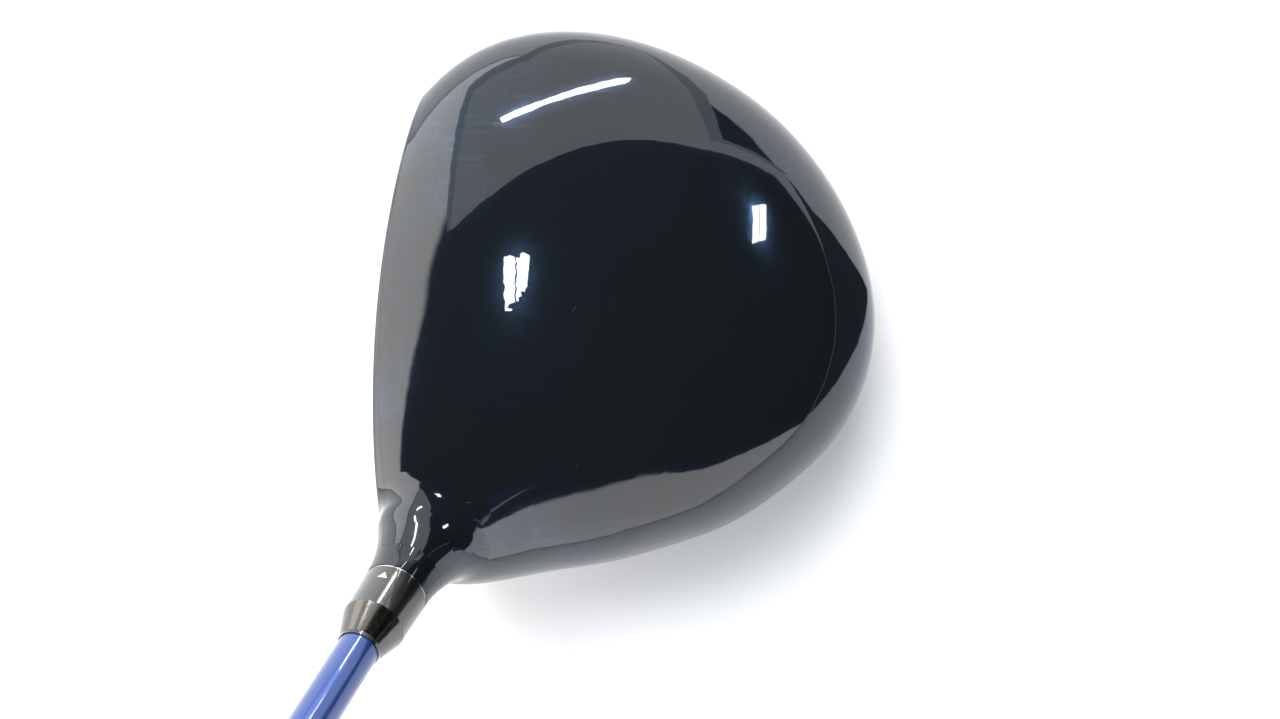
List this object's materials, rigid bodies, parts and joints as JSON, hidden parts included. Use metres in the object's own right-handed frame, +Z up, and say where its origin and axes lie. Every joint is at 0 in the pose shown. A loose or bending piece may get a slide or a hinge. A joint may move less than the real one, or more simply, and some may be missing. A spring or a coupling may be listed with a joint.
{
  "type": "golf driver",
  "caption": "Golf driver with a hollow gloss black head, an adjustable screwed-in adapter sleeve, a tapered blue shaft and a rubber grip.",
  "frame": {"origin": "middle of the ground flat on the sole", "axes": "+X toward the heel side, the side the shaft leans to, +Y from the face toward the back of the head, +Z up with the club soled at its lie angle"},
  "size_m": [0.6907, 0.1105, 0.9863],
  "materials": {
    "titanium_body": "gloss black paint",
    "crown_gloss": "moulded carbon composite under a gloss black clear coat with a faint navy tint",
    "face_metal": "dark satin brushed titanium",
    "weight_steel": "turned steel",
    "gasket_rubber": "matt black",
    "screw_steel": "blackened steel",
    "washer_steel": "plain steel",
    "retainer_steel": "spring steel",
    "ring_bright": "bright turned",
    "sleeve_black": "gloss black anodised",
    "mark_white": "white paint fill",
    "ferrule_grey": "satin grey",
    "ferrule_black": "gloss black",
    "shaft_blue": "wrapped carbon composite under gloss blue paint",
    "plug_brass": "plain",
    "tape_paper": "paper-backed tape",
    "grip_rubber": "matt black, moulded grooves",
    "cap_rubber": "matt black"
  },
  "bodies": {
    "head": {"body_shell": "titanium_body", "crown_shell": "crown_gloss", "face_plate": "face_metal", "screw_retainer": "retainer_steel", "screw_washer": "washer_steel", "hosel_ring": "ring_bright"},
    "shaft_assembly": {"adapter_sleeve": "sleeve_black", "sleeve_mark": "mark_white", "ferrule": "ferrule_grey", "ferrule_ring": "ferrule_black", "shaft": "shaft_blue", "tip_plug": "plug_brass", "grip_tape": "tape_paper", "grip": "grip_rubber", "grip_cap": "cap_rubber"},
    "screw": {"hosel_screw": "screw_steel"},
    "weight_seal": {"weight_gasket": "gasket_rubber"},
    "weight": {"rear_weight": "weight_steel"}
  },
  "joints": [
    {"name": "shaft_lift", "type": "slide", "parent": "head", "child": "shaft_assembly", "axis": [0.5225, 0, 0.8526], "range_m": [0, 0.008]},
    {"name": "hosel_screw_turn", "type": "hinge", "parent": "head", "child": "screw", "pos_m": [0.03266, -0.018, 0.02132], "axis": [0.5225, 0, 0.8526], "range_deg": [0, 3600]},
    {"name": "weight_out", "type": "slide", "parent": "head", "child": "weight_seal", "axis": [-0.0002, 0.3874, -0.9219], "range_m": [0, 0.009]},
    {"name": "weight_turn", "type": "hinge", "parent": "weight_seal", "child": "weight", "pos_m": [0, 0.05, 0.00614], "axis": [-0.0002, 0.3874, -0.9219], "range_deg": [-3240, 0]}
  ],
  "couplings": [
    {"joint": "hosel_screw_turn", "follows": "shaft_lift", "rad_per_m": 7854},
    {"joint": "weight_turn", "follows": "weight_out", "rad_per_m": -6283.2}
  ]
}
